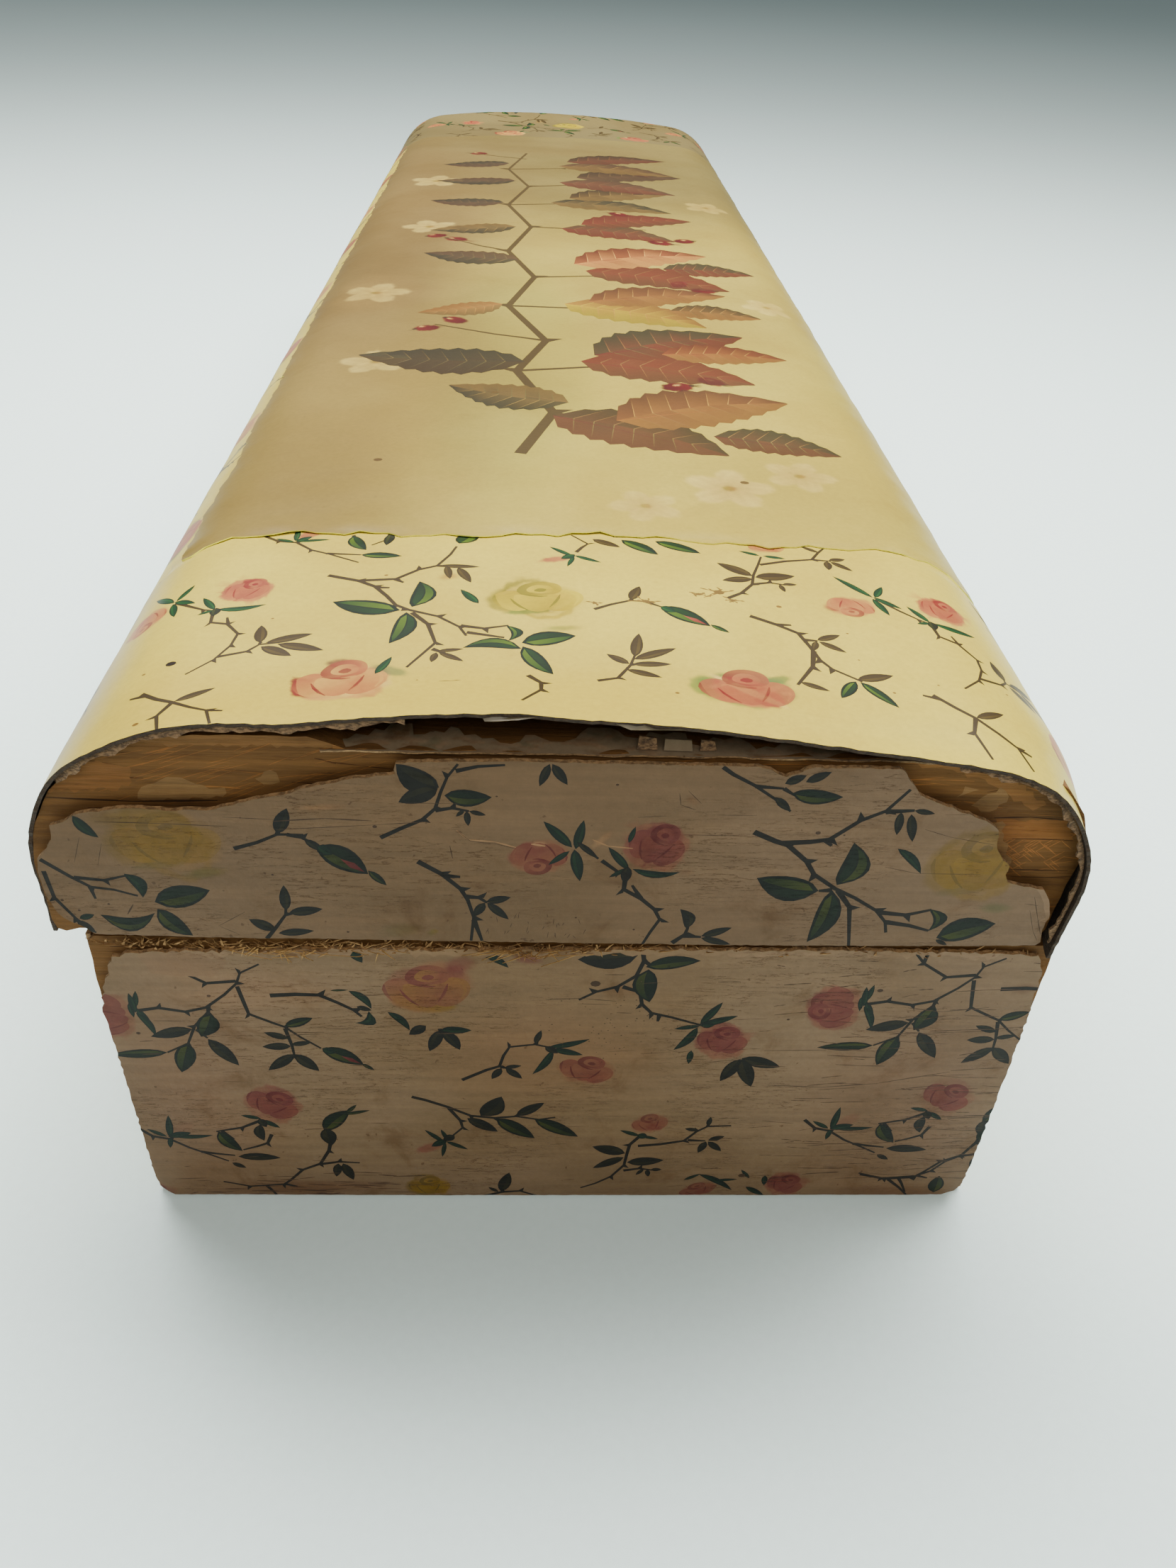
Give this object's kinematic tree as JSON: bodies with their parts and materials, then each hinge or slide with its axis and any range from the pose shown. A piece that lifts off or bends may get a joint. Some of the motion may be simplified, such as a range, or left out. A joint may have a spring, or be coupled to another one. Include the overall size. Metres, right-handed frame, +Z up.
{
  "type": "wooden glove box",
  "caption": "Long hollow wooden glove box with a loose round-shouldered lid, covered in rose-sprig paper under celluloid, worn and torn at one end.",
  "frame": {"origin": "on the surface the box stands on, under the middle of its overall box", "axes": "+Y runs along the box away from the worn end, +X to the right seen from that end, +Z up"},
  "size_m": [0.0938, 0.317, 0.0635],
  "materials": {
    "bare_wood": "matt, aged, unfinished",
    "inner_wood": "matt, unfinished",
    "end_covering": "printed paper under dulled celluloid",
    "rose_covering": "printed paper under glossy celluloid",
    "picture_covering": "printed paper under glossy celluloid"
  },
  "bodies": {
    "root": {"base_front_board": "bare_wood", "base_back_board": "bare_wood", "base_left_board": "inner_wood", "base_right_board": "inner_wood", "base_floor_board": "inner_wood", "base_front_cover": "end_covering", "base_back_cover": "end_covering", "base_left_cover": "rose_covering", "base_right_cover": "rose_covering", "lid_front_board": "bare_wood", "lid_back_board": "bare_wood", "lid_left_rail": "inner_wood", "lid_right_rail": "inner_wood", "lid_top_board": "inner_wood", "lid_front_cover": "end_covering", "lid_back_cover": "end_covering", "lid_front_border": "rose_covering", "lid_back_border": "rose_covering", "lid_left_strip": "rose_covering", "lid_right_strip": "rose_covering", "lid_picture_panel": "picture_covering"}
  },
  "joints": []
}
